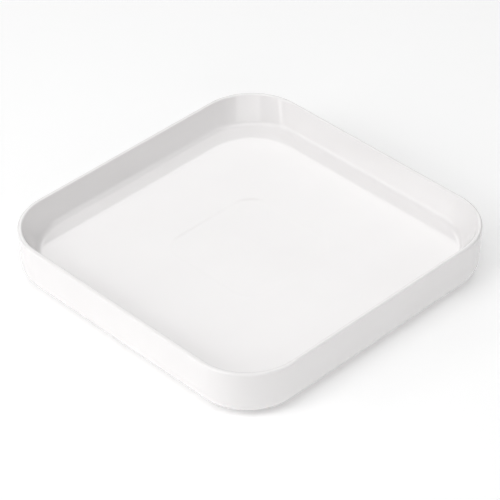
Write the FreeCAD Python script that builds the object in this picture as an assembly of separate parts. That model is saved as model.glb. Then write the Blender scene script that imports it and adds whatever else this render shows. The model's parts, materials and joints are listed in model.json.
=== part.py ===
"""Square lazy susan: a moulded tray that turns on a ball-bearing base.

The tray is a shallow dish in an outer shell. The shell's sides reach down past the dish's
floor and hide the bearing and the base.

Units are millimetres. +Z is up, the origin is on the turning axis at the height of the
surface that the feet stand on, and the tray's sides lie along X and Y at rest.
"""
import FreeCAD, Part
import math
import os

# ---------------------------------------------------------------- driving dimensions
# Tray: the dish and its rim
TRAY_SIDE = 250.0            # outside, across the rim
TRAY_CORNER = 43.0           # outside corner radius, seen from above
RIM_THICKNESS = 3.1
RIM_DEPTH = 2.6              # height of the rim's outer face, which sits on the outer shell
RIM_OUTER_ROUND = 1.4
RIM_INNER_ROUND = 1.0
INSIDE_DEPTH = 19.6          # from the rim down to the floor
INSIDE_SLOPE = 6.2           # how far each inner wall comes in between rim and floor
INSIDE_CORNER_GROWTH = 11.0  # inner corners are rounder at the floor than at the rim
CREASE_ROUND = 4.5           # inside rounding between wall and floor
TRAY_WALL = 1.7
TRAY_FLOOR = 3.0             # floor thickness
PANEL_HALF = 44.0            # shallow square field in the middle of the tray's floor
PANEL_CORNER = 17.0
PANEL_DEPTH = 0.16
PANEL_SLOPE = 2.3            # width of the field's sloping border
FLOOR_RIB_COUNT = 4          # ribs under the floor towards the sides, and as many to the corners
FLOOR_RIB_DEPTH = 3.0
FLOOR_RIB_REACH = 108.0      # how far the side ribs run out from the axis

# Outer shell
OUTSIDE_HEIGHT = 36.6        # shell's underside to the top of the rim
SIDE_DRAFT = 1.7             # how much narrower each side is at the underside
BOTTOM_ROUND = 11.0          # outside rounding between wall and underside
SHELL_WALL = 2.0
SHELL_LIP_THICKNESS = 2.4    # flat part of the underside, which turns inwards
SHELL_OPENING_HALF = 104.0
SHELL_OPENING_CORNER = 32.0
CURB_THICKNESS = 1.8         # upturned edge that stiffens the opening
CURB_HEIGHT = 4.0

# Screws that hold the outer shell up against the tray
SHELL_SCREW_CIRCLE = 140.4
SHELL_SCREW_LENGTH = 10.0
SHELL_SCREW_SINK = 0.15      # head lies this far inside the shell's underside
COUNTERSINK_RADIUS = 2.8
COUNTERSINK_HEIGHT = 1.4
SHELL_POST_RADIUS = 4.0

# Ball bearing
BALL_COUNT = 12
BALL_RADIUS = 3.0
BALL_GAP = 0.1               # free play between a ball and each race
TRACK_RADIUS = 62.0          # pitch circle of the balls
RACE_WIDTH = 10.0
RACE_THICKNESS = 2.2
GROOVE_DEPTH = 1.0
CAGE_WIDTH = 8.4
CAGE_GAP = 0.12              # cage to lower race
CAGE_THICKNESS = 2.8
POCKET_GAP = 0.2             # cage pocket to ball
CAGE_WINDOW_RADIUS = 2.0     # weight-saving holes between the pockets

# Base
BASE_RADIUS = 80.0
BASE_FLOOR = 3.0
BASE_WALL = 2.4
BASE_EDGE_ROUND = 0.8
BASE_TO_PLATE_GAP = 1.2      # base wall's top edge to the bearing plate
HUB_RADIUS = 11.0
BASE_RIB_COUNT = 8
RIB_THICKNESS = 1.6
RIB_HEIGHT = 1.4
SEAT_RIDGE_WIDTH = 1.4       # ridges that locate the two races
SEAT_RIDGE_HEIGHT = 1.2
SEAT_RIDGE_GAP = 0.1
ACCESS_HOLE_RADIUS = 5.0     # screwdriver reaches the tray screws through it

# Feet
FOOT_COUNT = 4
FOOT_CIRCLE = 69.0
FOOT_RADIUS = 6.0
FOOT_HEIGHT = 2.5
FOOT_RECESS = 1.0
FOOT_ROUND = 0.5
FOOT_FIT = 0.1

# Bearing plate under the tray
PLATE_RADIUS = 75.0
PLATE_THICKNESS = 2.8
PLATE_RIB_COUNT = 4
CUP_WALL = 1.8
CUP_FLOOR = 1.6
COLLAR_WIDTH = 1.8           # locating collar on the tray, around the bearing plate
COLLAR_HEIGHT = 1.5
COLLAR_GAP = 0.2

# Tray screws
SCREW_COUNT = 4
SCREW_CIRCLE = 36.0
SCREW_RADIUS = 1.5
SCREW_HEAD_RADIUS = 3.0
SCREW_HEAD_HEIGHT = 1.6
SCREW_FIT = 0.06
SCREW_BITE = 1.2             # how far the screw runs into the tray's floor
SCREW_TIP_CHAMFER = 0.5
DRIVE_WIDTH = 0.8            # cross recess in the screw head
DRIVE_LENGTH = 3.2
DRIVE_DEPTH = 0.8
BOSS_RADIUS = 4.2
BOSS_LENGTH = 4.0
BOSS_FIT = 0.2

# Pivot
BOLT_RADIUS = 3.0
BOLT_HEAD_RADIUS = 6.0
BOLT_HEAD_HEIGHT = 2.2
BOLT_HEAD_SINK = 0.2         # head lies this far inside the base's underside
BOLT_HEAD_CLEARANCE = 0.3
BOLT_TIP_CHAMFER = 0.4
HEAD_ROUND = 0.5
BOLT_FIT = 0.05
HEX_SOCKET_FLATS = 4.0
HEX_SOCKET_DEPTH = 1.3
BUSH_RADIUS = 5.0
BUSH_FLANGE_RADIUS = 8.0
BUSH_FLANGE = 1.0
WASHER_RADIUS = 7.5
WASHER_THICKNESS = 0.8
NUT_FLATS = 10.0
NUT_HEIGHT = 2.4
HUB_GAP = 0.3                # stationary hub to the turning bush and bearing plate
AXIAL_PLAY = 0.1             # bush flange to thrust washer
NUT_TO_TRAY_GAP = 0.5
PIVOT_CUP_RADIUS = 10.5

DIAGONAL = 45.0              # direction of a corner, seen from the axis, in degrees

# Modelling allowances
JOIN = 0.4                   # how far fused volumes run into each other
BEYOND = 1.0                 # how far cutting volumes run past a face

# ---------------------------------------------------------------- derived heights
base_bottom = FOOT_HEIGHT - FOOT_RECESS
base_top = base_bottom + BASE_FLOOR
lower_race_top = base_top + RACE_THICKNESS
ball_bottom = lower_race_top - GROOVE_DEPTH + BALL_GAP
ball_height = ball_bottom + BALL_RADIUS
upper_race_bottom = 2 * ball_height - lower_race_top
plate_bottom = upper_race_bottom + RACE_THICKNESS
plate_top = plate_bottom + PLATE_THICKNESS
tray_bottom = plate_top
tray_floor = tray_bottom + TRAY_FLOOR
tray_top = tray_floor + INSIDE_DEPTH
seam = tray_top - RIM_DEPTH                      # where the outer shell meets the rim
shell_bottom = tray_top - OUTSIDE_HEIGHT
shell_lip_top = shell_bottom + SHELL_LIP_THICKNESS
shell_screw_head = shell_bottom + SHELL_SCREW_SINK
shell_screw_tip = shell_screw_head + SHELL_SCREW_LENGTH
base_wall_top = plate_bottom - BASE_TO_PLATE_GAP
cup_ceiling = tray_bottom - BOSS_LENGTH          # inside floor of the screw cups
cup_bottom = cup_ceiling - CUP_FLOOR
screw_tip = tray_bottom + SCREW_BITE
groove_radius = BALL_RADIUS + BALL_GAP
inner_ridge_middle = TRACK_RADIUS - RACE_WIDTH / 2 - SEAT_RIDGE_GAP - SEAT_RIDGE_WIDTH / 2

# Pivot stack, worked down from the nut, which stays clear of the tray's underside
nut_top = tray_bottom - NUT_TO_TRAY_GAP
washer_top = nut_top - NUT_HEIGHT
washer_bottom = washer_top - WASHER_THICKNESS
bush_flange_top = washer_bottom - AXIAL_PLAY
pivot_cup_floor_top = bush_flange_top - BUSH_FLANGE
pivot_cup_bottom = pivot_cup_floor_top - CUP_FLOOR
hub_top = pivot_cup_bottom - HUB_GAP
bolt_head_top = base_bottom + BOLT_HEAD_SINK + BOLT_HEAD_HEIGHT


# ---------------------------------------------------------------- helpers
def vec(x, y, z=0.0):
    return FreeCAD.Vector(x, y, z)


def disc(radius, bottom, top, x=0.0, y=0.0):
    """Upright cylinder between two heights."""
    return Part.makeCylinder(radius, top - bottom, vec(x, y, bottom))


def ring(outer, inner, bottom, top, x=0.0, y=0.0):
    return disc(outer, bottom, top, x, y).cut(disc(inner, bottom - BEYOND, top + BEYOND, x, y))


def block(x_size, y_size, bottom, top):
    """Box centred on the turning axis."""
    return Part.makeBox(x_size, y_size, top - bottom, vec(-x_size / 2, -y_size / 2, bottom))


def hexagon(flats, bottom, top):
    corner = flats / math.sqrt(3)
    points = [vec(corner * math.cos(math.radians(a)), corner * math.sin(math.radians(a)), bottom)
              for a in range(0, 361, 60)]
    return Part.Face(Part.makePolygon(points)).extrude(vec(0, 0, top - bottom))


def around(count, radius, start=0.0):
    """Evenly spaced (x, y) places on a circle, with the angle of each in degrees."""
    places = []
    for i in range(count):
        angle = start + 360.0 * i / count
        x = radius * math.cos(math.radians(angle))
        y = radius * math.sin(math.radians(angle))
        places.append((x, y, angle))
    return places


def rounded_square(half, radius, height):
    """Closed wire: a square of half-width `half` with round corners, at one height."""
    bulge = radius * (1 - math.sqrt(0.5))
    flat = half - radius
    near = half - bulge
    corners = [(1, 1), (-1, 1), (-1, -1), (1, -1)]
    edges = []
    for i, (sx, sy) in enumerate(corners):
        starts_on_x = i % 2 == 0
        on_x_side = vec(sx * half, sy * flat, height)
        on_y_side = vec(sx * flat, sy * half, height)
        first, last = (on_x_side, on_y_side) if starts_on_x else (on_y_side, on_x_side)
        edges.append(Part.Arc(first, vec(sx * near, sy * near, height), last).toShape())
        next_sx, next_sy = corners[(i + 1) % 4]
        if starts_on_x:
            following = vec(next_sx * flat, next_sy * half, height)
        else:
            following = vec(next_sx * half, next_sy * flat, height)
        edges.append(Part.LineSegment(last, following).toShape())
    return Part.Wire(edges)


def tapered_block(lower, upper):
    """Solid between two rounded squares, each given as (half, radius, height)."""
    return Part.makeLoft([rounded_square(*lower), rounded_square(*upper)], True, True)


def edges_at(shape, height, least=0.0, most=math.inf):
    """Level edges at a height whose furthest reach along X or Y is between two limits."""
    tolerance = 0.01
    found = []
    for edge in shape.Edges:
        box = edge.BoundBox
        level = abs(box.ZMin - height) < tolerance and abs(box.ZMax - height) < tolerance
        reach = max(abs(box.XMin), abs(box.XMax), abs(box.YMin), abs(box.YMax))
        if level and least <= reach <= most:
            found.append(edge)
    return found


def export(name, solids):
    """Writes one node; several solids make a group of separate pieces."""
    solids = solids if isinstance(solids, list) else [solids]
    for solid in solids:
        if not solid.isValid() or solid.Volume <= 0:
            raise ValueError(name + " is not a valid solid")
    shape = solids[0] if len(solids) == 1 else Part.makeCompound(solids)
    shape.exportStep("parts/" + name + ".step")


# ---------------------------------------------------------------- tray
def outside_at(height, inset=0.0):
    """Outline of the tray's outside at a height, as (half, radius, height)."""
    narrowing = inset + SIDE_DRAFT * (tray_top - height) / OUTSIDE_HEIGHT
    return TRAY_SIDE / 2 - narrowing, TRAY_CORNER - narrowing, height


def inside_at(height, outset=0.0):
    """Outline of the dish's sloping inner walls at a height, as (half, radius, height)."""
    depth = (tray_top - height) / INSIDE_DEPTH
    narrowing = RIM_THICKNESS - outset + INSIDE_SLOPE * depth
    radius = TRAY_CORNER - narrowing + INSIDE_CORNER_GROWTH * depth
    return TRAY_SIDE / 2 - narrowing, radius, height


def dish():
    """Dish with sloping walls, a flat floor and a rounded rim that covers the shell's edge."""
    body = tapered_block(inside_at(tray_bottom, TRAY_WALL), inside_at(seam + JOIN, TRAY_WALL))
    body = body.makeFillet(CREASE_ROUND, edges_at(body, tray_bottom))
    rim = tapered_block(outside_at(seam), outside_at(tray_top))
    space = tapered_block(inside_at(tray_floor), inside_at(tray_top))
    space = space.makeFillet(CREASE_ROUND, edges_at(space, tray_floor))
    body = body.fuse(rim).cut(space)
    rim_middle = (TRAY_SIDE - RIM_THICKNESS) / 2
    body = body.makeFillet(RIM_INNER_ROUND, edges_at(body, tray_top, most=rim_middle))
    return body.makeFillet(RIM_OUTER_ROUND, edges_at(body, tray_top, least=rim_middle))


def floor_panel():
    """Material taken out of the floor for the shallow square field."""
    lower = (PANEL_HALF - PANEL_SLOPE, PANEL_CORNER - PANEL_SLOPE, tray_floor - PANEL_DEPTH)
    upper = (PANEL_HALF, PANEL_CORNER, tray_floor)
    return tapered_block(lower, upper)


def screw_bosses():
    """Posts under the floor that take the tray screws, with their pilot holes."""
    posts = []
    holes = []
    for x, y, _ in around(SCREW_COUNT, SCREW_CIRCLE, DIAGONAL):
        posts.append(disc(BOSS_RADIUS, cup_ceiling, tray_bottom + JOIN, x, y))
        holes.append(disc(SCREW_RADIUS + SCREW_FIT, cup_ceiling, screw_tip + SCREW_FIT, x, y))
    return posts, holes


def shell_posts():
    """Long posts in the corners that stand on the outer shell's lip, with their pilot holes."""
    posts = []
    holes = []
    for x, y, _ in around(SCREW_COUNT, SHELL_SCREW_CIRCLE, DIAGONAL):
        posts.append(disc(SHELL_POST_RADIUS, shell_lip_top, tray_floor - JOIN, x, y))
        holes.append(disc(SCREW_RADIUS + SCREW_FIT, shell_lip_top - BEYOND,
                          shell_screw_tip + SCREW_FIT, x, y))
    return posts, holes


def spokes(count, start, inner, outer, bottom, top):
    """Straight upright ribs that run outwards from the axis like spokes."""
    ribs = []
    for _, _, angle in around(count, 1.0, start):
        rib = Part.makeBox(outer - inner, RIB_THICKNESS, top - bottom,
                           vec(inner, -RIB_THICKNESS / 2, bottom))
        rib.rotate(vec(0, 0), vec(0, 0, 1), angle)
        ribs.append(rib)
    return ribs


def tray():
    collar_inner = PLATE_RADIUS + COLLAR_GAP
    collar_outer = collar_inner + COLLAR_WIDTH
    collar = ring(collar_outer, collar_inner, tray_bottom - COLLAR_HEIGHT, tray_bottom + JOIN)
    rib_bottom = tray_bottom - FLOOR_RIB_DEPTH
    rib_inner = collar_outer - JOIN
    ribs = spokes(FLOOR_RIB_COUNT, 0.0, rib_inner, FLOOR_RIB_REACH, rib_bottom, tray_bottom + JOIN)
    ribs += spokes(FLOOR_RIB_COUNT, DIAGONAL, rib_inner,
                   SHELL_SCREW_CIRCLE - SHELL_POST_RADIUS + JOIN, rib_bottom, tray_bottom + JOIN)
    bosses, boss_holes = screw_bosses()
    posts, post_holes = shell_posts()
    body = dish().cut(floor_panel()).multiFuse([collar] + ribs + bosses + posts).removeSplitter()
    return body.cut(Part.makeCompound(boss_holes + post_holes))


def outer_shell():
    """Outside wall of the tray, with a rounded lower edge that turns in to a wide opening."""
    body = tapered_block(outside_at(shell_bottom), outside_at(seam))
    body = body.makeFillet(BOTTOM_ROUND, edges_at(body, shell_bottom))
    space = tapered_block(outside_at(shell_lip_top, SHELL_WALL), outside_at(seam, SHELL_WALL))
    space = space.makeFillet(BOTTOM_ROUND - SHELL_WALL, edges_at(space, shell_lip_top))
    body = body.cut(space)
    curb_half = SHELL_OPENING_HALF + CURB_THICKNESS
    curb_corner = SHELL_OPENING_CORNER + CURB_THICKNESS
    curb_top = shell_lip_top + CURB_HEIGHT
    curb = tapered_block((curb_half, curb_corner, shell_bottom + JOIN),
                         (curb_half, curb_corner, curb_top))
    opening = tapered_block((SHELL_OPENING_HALF, SHELL_OPENING_CORNER, shell_bottom - BEYOND),
                            (SHELL_OPENING_HALF, SHELL_OPENING_CORNER, curb_top + BEYOND))
    body = body.fuse(curb).removeSplitter().cut(opening)
    holes = []
    for x, y, _ in around(SCREW_COUNT, SHELL_SCREW_CIRCLE, DIAGONAL):
        holes.append(disc(SCREW_RADIUS + SCREW_FIT, shell_bottom, shell_lip_top + BEYOND, x, y))
        holes.append(countersunk_head(COUNTERSINK_RADIUS + SCREW_FIT, x, y))
        holes.append(disc(COUNTERSINK_RADIUS + SCREW_FIT, shell_bottom - BEYOND,
                          shell_screw_head, x, y))
    return body.cut(Part.makeCompound(holes))


def countersunk_head(radius, x, y):
    """Cone that narrows upwards from the shell screws' head height."""
    narrow = radius - COUNTERSINK_RADIUS + SCREW_RADIUS
    return Part.makeCone(radius, narrow, COUNTERSINK_HEIGHT, vec(x, y, shell_screw_head))


def cross_recess(screw, x, y, angle, head_bottom):
    """Screw with a cross-shaped drive cut into its head from below."""
    for size in ((DRIVE_LENGTH, DRIVE_WIDTH), (DRIVE_WIDTH, DRIVE_LENGTH)):
        slot = block(size[0], size[1], head_bottom - BEYOND, head_bottom + DRIVE_DEPTH)
        slot.rotate(vec(0, 0), vec(0, 0, 1), angle)
        slot.translate(vec(x, y))
        screw = screw.cut(slot)
    return screw


def shell_screws():
    """Countersunk screws that hold the outer shell up against the tray's corner posts."""
    screws = []
    for x, y, angle in around(SCREW_COUNT, SHELL_SCREW_CIRCLE, DIAGONAL):
        shank = disc(SCREW_RADIUS, shell_screw_head + COUNTERSINK_HEIGHT - JOIN,
                     shell_screw_tip, x, y)
        shank = shank.makeChamfer(SCREW_TIP_CHAMFER, edges_at(shank, shell_screw_tip))
        screw = countersunk_head(COUNTERSINK_RADIUS, x, y).fuse(shank)
        screws.append(cross_recess(screw, x, y, angle, shell_screw_head))
    return screws


def tray_screws():
    """Pan-head screws that hold the bearing plate up against the tray."""
    screws = []
    for x, y, angle in around(SCREW_COUNT, SCREW_CIRCLE, DIAGONAL):
        head_bottom = cup_bottom - SCREW_HEAD_HEIGHT
        head = disc(SCREW_HEAD_RADIUS, head_bottom, cup_bottom, x, y)
        head = head.makeFillet(HEAD_ROUND, edges_at(head, head_bottom))
        shank = disc(SCREW_RADIUS, cup_bottom - JOIN, screw_tip, x, y)
        shank = shank.makeChamfer(SCREW_TIP_CHAMFER, edges_at(shank, screw_tip))
        screws.append(cross_recess(head.fuse(shank), x, y, angle, head_bottom))
    return screws


# ---------------------------------------------------------------- bearing
def race(back, face):
    """Flat steel ring with a ball groove in the side that faces the balls."""
    flat = ring(TRACK_RADIUS + RACE_WIDTH / 2, TRACK_RADIUS - RACE_WIDTH / 2,
                min(back, face), max(back, face))
    groove = Part.makeTorus(TRACK_RADIUS, groove_radius, vec(0, 0, ball_height))
    return flat.cut(groove)


def ball(x, y):
    return Part.makeSphere(BALL_RADIUS, vec(x, y, ball_height))


def ball_cage():
    """Flat retainer ring that spaces the balls evenly and slides on the lower race."""
    bottom = lower_race_top + CAGE_GAP
    top = bottom + CAGE_THICKNESS
    cage = ring(TRACK_RADIUS + CAGE_WIDTH / 2, TRACK_RADIUS - CAGE_WIDTH / 2, bottom, top)
    pockets = [disc(BALL_RADIUS + POCKET_GAP, bottom - BEYOND, top + BEYOND, x, y)
               for x, y, _ in around(BALL_COUNT, TRACK_RADIUS)]
    windows = [disc(CAGE_WINDOW_RADIUS, bottom - BEYOND, top + BEYOND, x, y)
               for x, y, _ in around(BALL_COUNT, TRACK_RADIUS, 180.0 / BALL_COUNT)]
    return cage.cut(Part.makeCompound(pockets + windows))


def seat_ridges(root, tip):
    """Two low rings, one inside and one outside a race, that hold it central."""
    low, high = min(root, tip), max(root, tip)
    outer = TRACK_RADIUS + RACE_WIDTH / 2 + SEAT_RIDGE_GAP
    inner = TRACK_RADIUS - RACE_WIDTH / 2 - SEAT_RIDGE_GAP
    return [ring(outer + SEAT_RIDGE_WIDTH, outer, low, high),
            ring(inner, inner - SEAT_RIDGE_WIDTH, low, high)]


def bearing_plate():
    """Moulded disc that carries the upper race and bolts to the tray."""
    plate = disc(PLATE_RADIUS, plate_bottom, plate_top)
    cups = []
    hollows = []
    for x, y, _ in around(SCREW_COUNT, SCREW_CIRCLE, DIAGONAL):
        hollow = BOSS_RADIUS + BOSS_FIT
        cups.append(disc(hollow + CUP_WALL, cup_bottom, plate_bottom + JOIN, x, y))
        hollows.append(disc(hollow, cup_ceiling, plate_top + BEYOND, x, y))
        hollows.append(disc(SCREW_RADIUS + BOSS_FIT, cup_bottom - BEYOND, cup_ceiling + BEYOND, x, y))
    cups.append(disc(PIVOT_CUP_RADIUS + CUP_WALL, pivot_cup_bottom, plate_bottom + JOIN))
    hollows.append(disc(PIVOT_CUP_RADIUS, pivot_cup_floor_top, plate_top + BEYOND))
    hollows.append(disc(BUSH_RADIUS, pivot_cup_bottom - BEYOND, pivot_cup_floor_top + BEYOND))
    ridges = seat_ridges(plate_bottom + JOIN, plate_bottom - SEAT_RIDGE_HEIGHT)
    ribs = spokes(PLATE_RIB_COUNT, 0.0, PIVOT_CUP_RADIUS + CUP_WALL / 2, inner_ridge_middle,
                  plate_bottom - RIB_HEIGHT, plate_bottom + JOIN)
    plate = plate.multiFuse(cups + ridges + ribs).removeSplitter()
    return plate.cut(Part.makeCompound(hollows))


# ---------------------------------------------------------------- base
def foot_places():
    return around(FOOT_COUNT, FOOT_CIRCLE, DIAGONAL)


def base_plate():
    """Round moulded base: floor, outer wall, pivot hub, lower race seat and ribs."""
    inner_wall = BASE_RADIUS - BASE_WALL
    body = disc(BASE_RADIUS, base_bottom, base_wall_top)
    body = body.makeFillet(BASE_EDGE_ROUND, edges_at(body, base_bottom) + edges_at(body, base_wall_top))
    body = body.cut(disc(inner_wall, base_top, base_wall_top + BEYOND))
    hub = disc(HUB_RADIUS, base_bottom + JOIN, hub_top)
    ridges = seat_ridges(base_top - JOIN, base_top + SEAT_RIDGE_HEIGHT)
    ribs = spokes(BASE_RIB_COUNT, 180.0 / BASE_RIB_COUNT, HUB_RADIUS - JOIN, inner_ridge_middle,
                  base_top - JOIN, base_top + RIB_HEIGHT)
    body = body.multiFuse([hub] + ridges + ribs).removeSplitter()
    openings = [disc(BOLT_RADIUS + BOLT_FIT, base_bottom - BEYOND, hub_top + BEYOND),
                disc(BOLT_HEAD_RADIUS + BOLT_HEAD_CLEARANCE, base_bottom - BEYOND, bolt_head_top),
                disc(ACCESS_HOLE_RADIUS, base_bottom - BEYOND, base_top + RIB_HEIGHT + BEYOND,
                     SCREW_CIRCLE, 0.0)]
    for x, y, _ in foot_places():
        openings.append(disc(FOOT_RADIUS + FOOT_FIT, base_bottom - BEYOND, FOOT_HEIGHT, x, y))
    return body.cut(Part.makeCompound(openings))


def foot(x, y):
    """Soft pad stuck in its recess under the base."""
    pad = disc(FOOT_RADIUS, 0.0, FOOT_HEIGHT, x, y)
    return pad.makeFillet(FOOT_ROUND, edges_at(pad, 0.0))


# ---------------------------------------------------------------- pivot
def pivot_bolt():
    """Shoulder bolt that stands up through the base hub, head down, with a hex socket."""
    head_bottom = bolt_head_top - BOLT_HEAD_HEIGHT
    head = disc(BOLT_HEAD_RADIUS, head_bottom, bolt_head_top)
    head = head.makeFillet(HEAD_ROUND, edges_at(head, head_bottom))
    shank = disc(BOLT_RADIUS, bolt_head_top - JOIN, nut_top)
    shank = shank.makeChamfer(BOLT_TIP_CHAMFER, edges_at(shank, nut_top))
    socket = hexagon(HEX_SOCKET_FLATS, head_bottom - BEYOND, head_bottom + HEX_SOCKET_DEPTH)
    return head.fuse(shank).removeSplitter().cut(socket)


def pivot_bush():
    """Flanged plain bearing pressed into the bearing plate; it turns on the bolt."""
    bore = BOLT_RADIUS + BOLT_FIT
    sleeve = ring(BUSH_RADIUS, bore, pivot_cup_bottom, pivot_cup_floor_top + JOIN)
    flange = ring(BUSH_FLANGE_RADIUS, bore, pivot_cup_floor_top, bush_flange_top)
    return sleeve.fuse(flange).removeSplitter()


def thrust_washer():
    return ring(WASHER_RADIUS, BOLT_RADIUS + BOLT_FIT, washer_bottom, washer_top)


def lock_nut():
    nut = hexagon(NUT_FLATS, washer_top, nut_top)
    return nut.cut(disc(BOLT_RADIUS + BOLT_FIT / 2, washer_top - BEYOND, nut_top + BEYOND))


# ---------------------------------------------------------------- write every node
def main():
    os.makedirs("parts", exist_ok=True)
    export("tray", tray())
    export("outer_shell", outer_shell())
    export("shell_screws", shell_screws())
    export("tray_screws", tray_screws())
    export("bearing_plate", bearing_plate())
    export("upper_race", race(plate_bottom, upper_race_bottom))
    export("lower_race", race(base_top, lower_race_top))
    export("ball_cage", ball_cage())
    for number, (x, y, _) in enumerate(around(BALL_COUNT, TRACK_RADIUS), start=1):
        export("ball_%02d" % number, ball(x, y))
    export("base_plate", base_plate())
    export("pivot_bolt", pivot_bolt())
    export("pivot_bush", pivot_bush())
    export("thrust_washer", thrust_washer())
    export("lock_nut", lock_nut())
    for number, (x, y, _) in enumerate(foot_places(), start=1):
        export("foot_%d" % number, foot(x, y))


main()
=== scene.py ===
"""Looks of the square lazy susan: materials, studio light and camera.

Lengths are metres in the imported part's frame: +Z up, origin on the turning axis at table height.
"""
import bpy
import json
import math
from mathutils import Matrix, Vector


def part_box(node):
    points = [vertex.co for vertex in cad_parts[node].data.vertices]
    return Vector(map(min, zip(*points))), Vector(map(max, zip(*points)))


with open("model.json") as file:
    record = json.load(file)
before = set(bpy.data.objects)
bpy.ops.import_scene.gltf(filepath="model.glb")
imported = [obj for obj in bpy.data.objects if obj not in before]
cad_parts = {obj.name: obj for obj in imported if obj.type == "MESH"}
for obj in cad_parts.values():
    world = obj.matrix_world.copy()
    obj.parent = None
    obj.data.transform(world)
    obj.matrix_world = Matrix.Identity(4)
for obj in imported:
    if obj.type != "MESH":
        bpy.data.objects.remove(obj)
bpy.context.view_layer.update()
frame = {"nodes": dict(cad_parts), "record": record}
nodes = frame["nodes"]

MM = 0.001

# ---------------------------------------------------------------- camera values
CAMERA_AZIMUTH = 46.16         # degrees, 0 looks along +Y
CAMERA_ELEVATION = 37.88
CAMERA_ROLL = 1.06             # degrees, clockwise
CAMERA_DISTANCE = 1.7443       # from the aim point
CAMERA_LENS = 182.4            # mm
CAMERA_SENSOR = 36.0           # mm
CAMERA_SEES = (0.05, 50.0)     # nearest and furthest distance
AIM_ABOVE_SHELL_BOTTOM = 13.6 * MM

# ---------------------------------------------------------------- light values
# Radiance of the world, the table's own glow and each soft light.
WORLD_LEVEL = 0.03
TABLE_GLOW = 0.14              # the table is a softly lit white panel
BACK_LEVEL = 2.4
TOP_LEVEL = 2.1
FRONT_LEVEL = 1.55
LEFT_LEVEL = 2.4
LEFT_TOP_LEVEL = 2.4
RIGHT_LEVEL = 1.1
LIGHT_DISTANCE = 2.5
TABLE_RADIUS = 6.0
TABLE_SIDES = 128


# ---------------------------------------------------------------- node helpers
def new_material(name):
    """Material with one Principled shader; returns the material, its tree and the shader."""
    material = bpy.data.materials.new(name)
    material.use_nodes = True
    tree = material.node_tree
    shader = tree.nodes["Principled BSDF"]
    return material, tree, shader


def add(tree, kind, **settings):
    """Adds a node. Settings named after a socket set its value, others are attributes."""
    node = tree.nodes.new(kind)
    for key, value in settings.items():
        socket = node.inputs.get(key.replace("_", " "))
        if socket is None:
            setattr(node, key, value)
        else:
            socket.default_value = value
    return node


def object_coordinates(tree):
    return add(tree, "ShaderNodeTexCoord").outputs["Object"]


def noise(tree, vector, size, detail=3.0, rough=0.55):
    """Noise whose features are about `size` metres across."""
    node = add(tree, "ShaderNodeTexNoise", Scale=1.0 / size, Detail=detail, Roughness=rough)
    tree.links.new(vector, node.inputs["Vector"])
    return node.outputs["Fac"]


def remap(tree, value, low, high, from_low=0.3, from_high=0.7):
    node = add(tree, "ShaderNodeMapRange", From_Min=from_low, From_Max=from_high,
               To_Min=low, To_Max=high)
    tree.links.new(value, node.inputs["Value"])
    return node.outputs["Result"]


def mix_colours(tree, value, first, second):
    node = add(tree, "ShaderNodeMix", data_type="RGBA")
    colour_a, colour_b = [s for s in node.inputs if s.type == "RGBA"]
    colour_a.default_value = (*first, 1)
    colour_b.default_value = (*second, 1)
    tree.links.new(value, node.inputs["Factor"])
    return [s for s in node.outputs if s.type == "RGBA"][0]


def bump(tree, height, depth, below=None):
    """Bump of `depth` metres; `below` is the normal of a bump it is added to."""
    node = add(tree, "ShaderNodeBump", Strength=1.0, Distance=depth)
    tree.links.new(height, node.inputs["Height"])
    if below is not None:
        tree.links.new(below, node.inputs["Normal"])
    return node.outputs["Normal"]


def radius_from_axis(tree, vector):
    flat = add(tree, "ShaderNodeVectorMath", operation="MULTIPLY")
    flat.inputs[1].default_value = (1, 1, 0)
    tree.links.new(vector, flat.inputs[0])
    length = add(tree, "ShaderNodeVectorMath", operation="LENGTH")
    tree.links.new(flat.outputs["Vector"], length.inputs[0])
    return length.outputs["Value"]


# ---------------------------------------------------------------- materials
def gloss_white():
    """Glossy white moulding: faint flow waviness, fine rub marks, a little unevenness."""
    material, tree, shader = new_material("tray_plastic")
    place = object_coordinates(tree)
    cloud = noise(tree, place, 60 * MM, detail=2.0)
    colour = mix_colours(tree, remap(tree, cloud, 0.0, 1.0),
                         (0.888, 0.872, 0.870), (0.908, 0.893, 0.891))
    tree.links.new(colour, shader.inputs["Base Color"])
    smear = noise(tree, place, 14 * MM, detail=4.0, rough=0.6)
    tree.links.new(remap(tree, smear, 0.055, 0.105), shader.inputs["Roughness"])
    waves = bump(tree, noise(tree, place, 9 * MM, detail=1.0), 0.006 * MM)
    peel = bump(tree, noise(tree, place, 0.9 * MM, detail=2.0), 0.0008 * MM, below=waves)
    tree.links.new(peel, shader.inputs["Normal"])
    shader.inputs["IOR"].default_value = 1.5
    shader.inputs["Specular IOR Level"].default_value = 0.5
    return material


def satin_white():
    """Textured white moulding of the base, with the fine spark grain such parts have."""
    material, tree, shader = new_material("base_plastic")
    place = object_coordinates(tree)
    cloud = noise(tree, place, 30 * MM)
    colour = mix_colours(tree, remap(tree, cloud, 0.0, 1.0),
                         (0.70, 0.695, 0.68), (0.76, 0.755, 0.745))
    tree.links.new(colour, shader.inputs["Base Color"])
    grain = noise(tree, place, 0.35 * MM, detail=3.0, rough=0.7)
    tree.links.new(remap(tree, grain, 0.42, 0.62), shader.inputs["Roughness"])
    tree.links.new(bump(tree, grain, 0.03 * MM), shader.inputs["Normal"])
    return material


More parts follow.
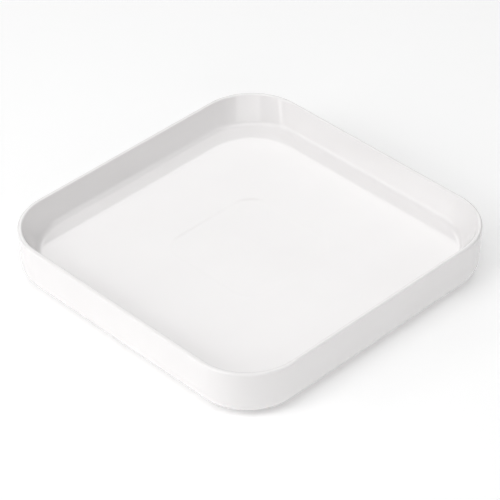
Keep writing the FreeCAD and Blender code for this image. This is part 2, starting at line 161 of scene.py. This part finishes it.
def turned_steel(name, colour, fine, roughness):
    """Steel with turning marks that run round the axis, and small stains."""
    material, tree, shader = new_material(name)
    place = object_coordinates(tree)
    around = add(tree, "ShaderNodeTexNoise", noise_dimensions="1D", Scale=1.0 / fine, Detail=4.0)
    tree.links.new(radius_from_axis(tree, place), around.inputs["W"])
    marks = around.outputs["Fac"]
    stain = noise(tree, place, 6 * MM, detail=5.0)
    dark = tuple(c * 0.8 for c in colour)
    tone = mix_colours(tree, remap(tree, stain, 0.0, 1.0), dark, colour)
    tree.links.new(tone, shader.inputs["Base Color"])
    tree.links.new(remap(tree, marks, roughness, roughness + 0.16), shader.inputs["Roughness"])
    tree.links.new(bump(tree, marks, 0.01 * MM), shader.inputs["Normal"])
    shader.inputs["Metallic"].default_value = 1.0
    return material


def polished_balls():
    """Bearing steel with faint smears of oil."""
    material, tree, shader = new_material("ball_steel")
    place = object_coordinates(tree)
    smear = noise(tree, place, 1.2 * MM, detail=4.0)
    tree.links.new(mix_colours(tree, smear, (0.66, 0.66, 0.67), (0.8, 0.8, 0.81)),
                   shader.inputs["Base Color"])
    tree.links.new(remap(tree, smear, 0.05, 0.14), shader.inputs["Roughness"])
    tree.links.new(bump(tree, noise(tree, place, 0.25 * MM), 0.001 * MM), shader.inputs["Normal"])
    shader.inputs["Metallic"].default_value = 1.0
    return material


def natural_nylon():
    """Cream-coloured uncoloured nylon, slightly translucent."""
    material, tree, shader = new_material("cage_nylon")
    place = object_coordinates(tree)
    cloud = noise(tree, place, 8 * MM, detail=4.0)
    tree.links.new(mix_colours(tree, remap(tree, cloud, 0.0, 1.0),
                               (0.60, 0.55, 0.43), (0.68, 0.64, 0.53)),
                   shader.inputs["Base Color"])
    tree.links.new(remap(tree, cloud, 0.32, 0.48), shader.inputs["Roughness"])
    tree.links.new(bump(tree, noise(tree, place, 0.5 * MM), 0.012 * MM), shader.inputs["Normal"])
    shader.inputs["Subsurface Weight"].default_value = 0.1
    shader.inputs["Subsurface Radius"].default_value = (0.001, 0.0008, 0.0006)
    return material


def black_acetal():
    """Smooth black bearing plastic."""
    material, tree, shader = new_material("bush_acetal")
    place = object_coordinates(tree)
    cloud = noise(tree, place, 2 * MM, detail=4.0)
    tree.links.new(mix_colours(tree, cloud, (0.012, 0.012, 0.013), (0.03, 0.03, 0.032)),
                   shader.inputs["Base Color"])
    tree.links.new(remap(tree, cloud, 0.22, 0.4), shader.inputs["Roughness"])
    tree.links.new(bump(tree, noise(tree, place, 0.3 * MM), 0.006 * MM), shader.inputs["Normal"])
    return material


def soft_rubber():
    """Grey non-slip rubber with a fine grain and paler dust on it."""
    material, tree, shader = new_material("foot_rubber")
    place = object_coordinates(tree)
    dust = noise(tree, place, 3 * MM, detail=6.0, rough=0.65)
    tree.links.new(mix_colours(tree, remap(tree, dust, 0.0, 1.0, 0.45, 0.75),
                               (0.030, 0.030, 0.032), (0.085, 0.083, 0.080)),
                   shader.inputs["Base Color"])
    tree.links.new(remap(tree, dust, 0.68, 0.88), shader.inputs["Roughness"])
    tree.links.new(bump(tree, noise(tree, place, 0.22 * MM, rough=0.7), 0.03 * MM),
                   shader.inputs["Normal"])
    return material


def studio_floor():
    """Plain white table with a soft glow of its own."""
    material, tree, shader = new_material("studio_floor")
    place = object_coordinates(tree)
    cloud = noise(tree, place, 0.25, detail=3.0)
    tree.links.new(mix_colours(tree, cloud, (0.955, 0.955, 0.955), (0.97, 0.97, 0.97)),
                   shader.inputs["Base Color"])
    shader.inputs["Roughness"].default_value = 0.9
    shader.inputs["Specular IOR Level"].default_value = 0.1
    shader.inputs["Emission Color"].default_value = (1, 1, 1, 1)
    shader.inputs["Emission Strength"].default_value = TABLE_GLOW
    return material


def dress_nodes():
    """Gives every CAD node the material of its slot."""
    made = {
        "tray_plastic": gloss_white(),
        "base_plastic": satin_white(),
        "race_steel": turned_steel("race_steel", (0.52, 0.52, 0.53), 0.12 * MM, 0.22),
        "fastener_steel": turned_steel("fastener_steel", (0.60, 0.60, 0.61), 0.2 * MM, 0.26),
        "ball_steel": polished_balls(),
        "cage_nylon": natural_nylon(),
        "bush_acetal": black_acetal(),
        "foot_rubber": soft_rubber(),
    }
    for part in frame["record"]["subparts"]:
        node = nodes[part["node"]]
        node.data.materials.clear()
        node.data.materials.append(made[part["material_slot"]])


# ---------------------------------------------------------------- studio
def direction(azimuth, elevation):
    """Unit vector from the object towards a viewer at that azimuth and elevation."""
    a = math.radians(azimuth)
    e = math.radians(elevation)
    return Vector((math.sin(a) * math.cos(e), -math.cos(a) * math.cos(e), math.sin(e)))


def make_camera(aim):
    data = bpy.data.cameras.new("camera")
    data.sensor_width = CAMERA_SENSOR
    data.lens = CAMERA_LENS
    data.clip_start, data.clip_end = CAMERA_SEES
    camera = bpy.data.objects.new("camera", data)
    back = direction(CAMERA_AZIMUTH, CAMERA_ELEVATION)
    camera.location = aim + back * CAMERA_DISTANCE
    turn = (-back).to_track_quat("-Z", "Y").to_matrix().to_4x4()
    roll = Matrix.Rotation(math.radians(-CAMERA_ROLL), 4, "Z")
    camera.matrix_world = Matrix.Translation(camera.location) @ turn @ roll
    bpy.context.collection.objects.link(camera)
    bpy.context.scene.camera = camera


def soft_light(name, side, elevation, size, level, aim):
    """Rectangular soft light; `side` is its azimuth from the camera's, in degrees."""
    towards = direction(CAMERA_AZIMUTH + side, elevation)
    data = bpy.data.lights.new(name, "AREA")
    data.shape = "RECTANGLE"
    data.size = size[0]
    data.size_y = size[1]
    data.energy = level * math.pi * size[0] * size[1]
    light = bpy.data.objects.new(name, data)
    light.location = aim + towards * LIGHT_DISTANCE
    light.rotation_mode = "QUATERNION"
    light.rotation_quaternion = (-towards).to_track_quat("-Z", "Y")
    bpy.context.collection.objects.link(light)


def make_studio(aim):
    world = bpy.data.worlds.new("studio")
    world.use_nodes = True
    background = world.node_tree.nodes["Background"]
    background.inputs["Color"].default_value = (1, 1, 1, 1)
    background.inputs["Strength"].default_value = WORLD_LEVEL
    bpy.context.scene.world = world
    soft_light("back_light", 180, 36, (1.7, 0.66), BACK_LEVEL, aim)
    soft_light("top_light", 0, 80, (2.2, 2.2), TOP_LEVEL, aim)
    soft_light("front_light", 5, 20, (2.0, 0.8), FRONT_LEVEL, aim)
    soft_light("left_light", -80, 20, (2.3, 1.2), LEFT_LEVEL, aim)
    soft_light("left_top_light", -60, 45, (1.7, 1.2), LEFT_TOP_LEVEL, aim)
    soft_light("right_light", 75, 35, (2.0, 1.5), RIGHT_LEVEL, aim)
    bpy.ops.mesh.primitive_circle_add(vertices=TABLE_SIDES, radius=TABLE_RADIUS, fill_type="NGON")
    floor = bpy.context.object
    floor.name = "studio_floor"
    floor.data.materials.append(studio_floor())
    bpy.context.scene.view_settings.view_transform = "Standard"
    bpy.context.scene.view_settings.look = "None"


shell_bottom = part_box("outer_shell")[0].z
aim = Vector((0, 0, shell_bottom + AIM_ABOVE_SHELL_BOTTOM))
dress_nodes()
make_camera(aim)
make_studio(aim)
